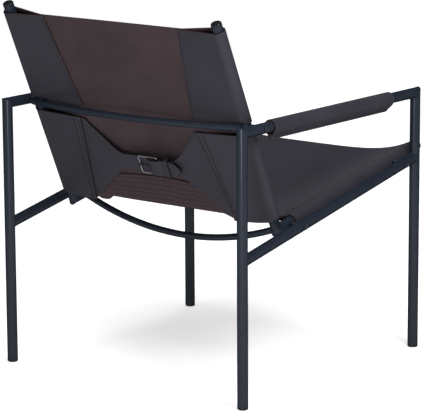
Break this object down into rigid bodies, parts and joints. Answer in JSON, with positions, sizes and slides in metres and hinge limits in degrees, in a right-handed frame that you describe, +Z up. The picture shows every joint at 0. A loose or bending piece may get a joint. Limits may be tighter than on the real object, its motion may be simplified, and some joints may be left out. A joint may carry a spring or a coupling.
{
  "type": "lounge chair",
  "caption": "Low lounge chair: thin leather seat and back slung on a tubular steel frame between welded side frames with leather arm sleeves, and a buckled belt behind the back",
  "frame": {"origin": "on the floor, under the middle of the chair's outline", "axes": "+X to the sitter's left, +Y to the rear, +Z up; the chair faces -Y"},
  "size_m": [0.6358, 0.7108, 0.7678],
  "materials": {
    "frame_steel": "blue-black powder coat, satin",
    "plastic": "black moulded plastic",
    "fastener": "dark zinc",
    "leather": "thick dark saddle leather, smooth grain side, brown flesh side",
    "buckle_wire": "bright nickel"
  },
  "bodies": {
    "chair": {"left_rear_leg": "frame_steel", "left_front_leg": "frame_steel", "left_arm_tube": "frame_steel", "left_seat_rail": "frame_steel", "left_rear_glide": "plastic", "left_front_glide": "plastic", "right_rear_leg": "frame_steel", "right_front_leg": "frame_steel", "right_arm_tube": "frame_steel", "right_seat_rail": "frame_steel", "right_rear_glide": "plastic", "right_front_glide": "plastic", "left_back_tube": "frame_steel", "left_back_tube_cap": "plastic", "left_seat_tube": "frame_steel", "left_seat_tube_plug": "plastic", "right_back_tube": "frame_steel", "right_back_tube_cap": "plastic", "right_seat_tube": "frame_steel", "right_seat_tube_plug": "plastic", "back_bow": "frame_steel", "seat_bow": "frame_steel", "left_arm_bolt": "fastener", "left_arm_spacer": "fastener", "left_seat_rear_bolt": "fastener", "left_seat_rear_spacer": "fastener", "left_seat_front_bolt": "fastener", "left_seat_front_spacer": "fastener", "right_arm_bolt": "fastener", "right_arm_spacer": "fastener", "right_seat_rear_bolt": "fastener", "right_seat_rear_spacer": "fastener", "right_seat_front_bolt": "fastener", "right_seat_front_spacer": "fastener", "left_arm_sleeve": "leather", "right_arm_sleeve": "leather", "back_sling": "leather", "seat_sling": "leather", "left_belt": "leather", "right_belt": "leather", "belt_keeper": "leather", "buckle_frame": "buckle_wire"},
    "prong": {"buckle_prong": "fastener"}
  },
  "joints": [
    {"name": "prong_hinge", "type": "hinge", "parent": "chair", "child": "prong", "pos_m": [-0.023, 0.21746, 0.43991], "axis": [0, 0.4067, 0.9135], "range_deg": [0, 80]}
  ]
}
